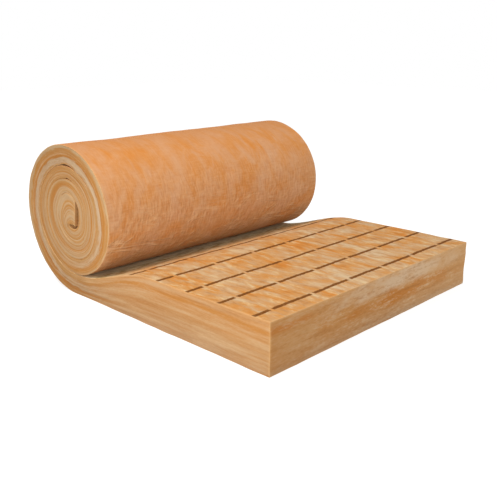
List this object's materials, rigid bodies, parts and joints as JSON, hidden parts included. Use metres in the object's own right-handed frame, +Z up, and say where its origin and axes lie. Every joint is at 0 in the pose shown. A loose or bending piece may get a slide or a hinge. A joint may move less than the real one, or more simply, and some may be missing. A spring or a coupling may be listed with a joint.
{
  "type": "insulation roll",
  "caption": "Partly unrolled blanket of glass wool, wound in a spiral at one end and lying flat at full thickness at the other, for filling roof and wall frames.",
  "frame": {"origin": "on the floor, under the middle of the object's box", "axes": "+X along the strip towards the free end, with the wound roll at -X; Y across the strip's width; +Z up from the floor"},
  "size_m": [1.3788, 1.2, 0.5949],
  "materials": {
    "glass_wool": "matte felted glass fibre, ochre and cream in layers, with brown printed cutting marks across the upper face"
  },
  "bodies": {
    "root": {"wool_blanket": "glass_wool"}
  },
  "joints": []
}
